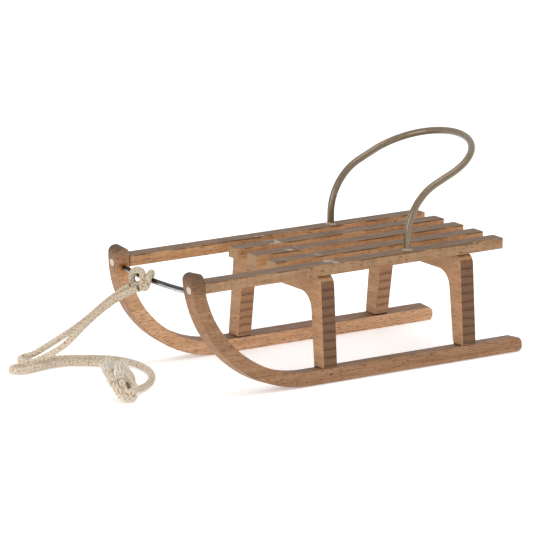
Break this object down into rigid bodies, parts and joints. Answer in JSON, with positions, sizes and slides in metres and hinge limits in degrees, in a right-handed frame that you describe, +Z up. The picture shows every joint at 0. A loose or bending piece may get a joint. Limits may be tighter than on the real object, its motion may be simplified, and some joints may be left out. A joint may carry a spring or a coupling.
{
  "type": "wooden sledge",
  "caption": "Small decorative wooden sledge with upturned runners, slatted seat, wire backrest hoop and knotted cotton pull rope.",
  "frame": {"origin": "on the floor, under the middle of the woodwork", "axes": "+Z up, -X to the front where the horns are, +Y to the sledge's right"},
  "size_m": [0.2159, 0.1043, 0.0961],
  "materials": {
    "runner_wood": "planed light beech, clear satin varnish",
    "trestle_wood": "planed light beech with dark end grain",
    "seat_wood": "planed light beech, clear satin varnish",
    "bar_steel": "bright plated wire",
    "nail_steel": "dull nail heads",
    "hoop_wire": "satin olive brown",
    "glue": "clear glue, glossy",
    "cotton_rope": "matte natural cotton braid"
  },
  "bodies": {
    "root": {"runner_left": "runner_wood", "runner_right": "runner_wood", "front_trestle": "trestle_wood", "rear_trestle": "trestle_wood", "side_rail_left": "seat_wood", "side_rail_right": "seat_wood", "seat_slat_left": "seat_wood", "seat_slat_centre": "seat_wood", "seat_slat_right": "seat_wood", "tow_bar": "bar_steel", "horn_nail_left": "nail_steel", "horn_nail_right": "nail_steel", "backrest_hoop": "hoop_wire", "glue_bead_left": "glue", "glue_bead_right": "glue", "rope_hitch": "cotton_rope", "rope_strand_upper": "cotton_rope", "rope_strand_lower": "cotton_rope", "rope_knot": "cotton_rope", "rope_tail_long": "cotton_rope", "rope_tail_short": "cotton_rope"}
  },
  "joints": []
}
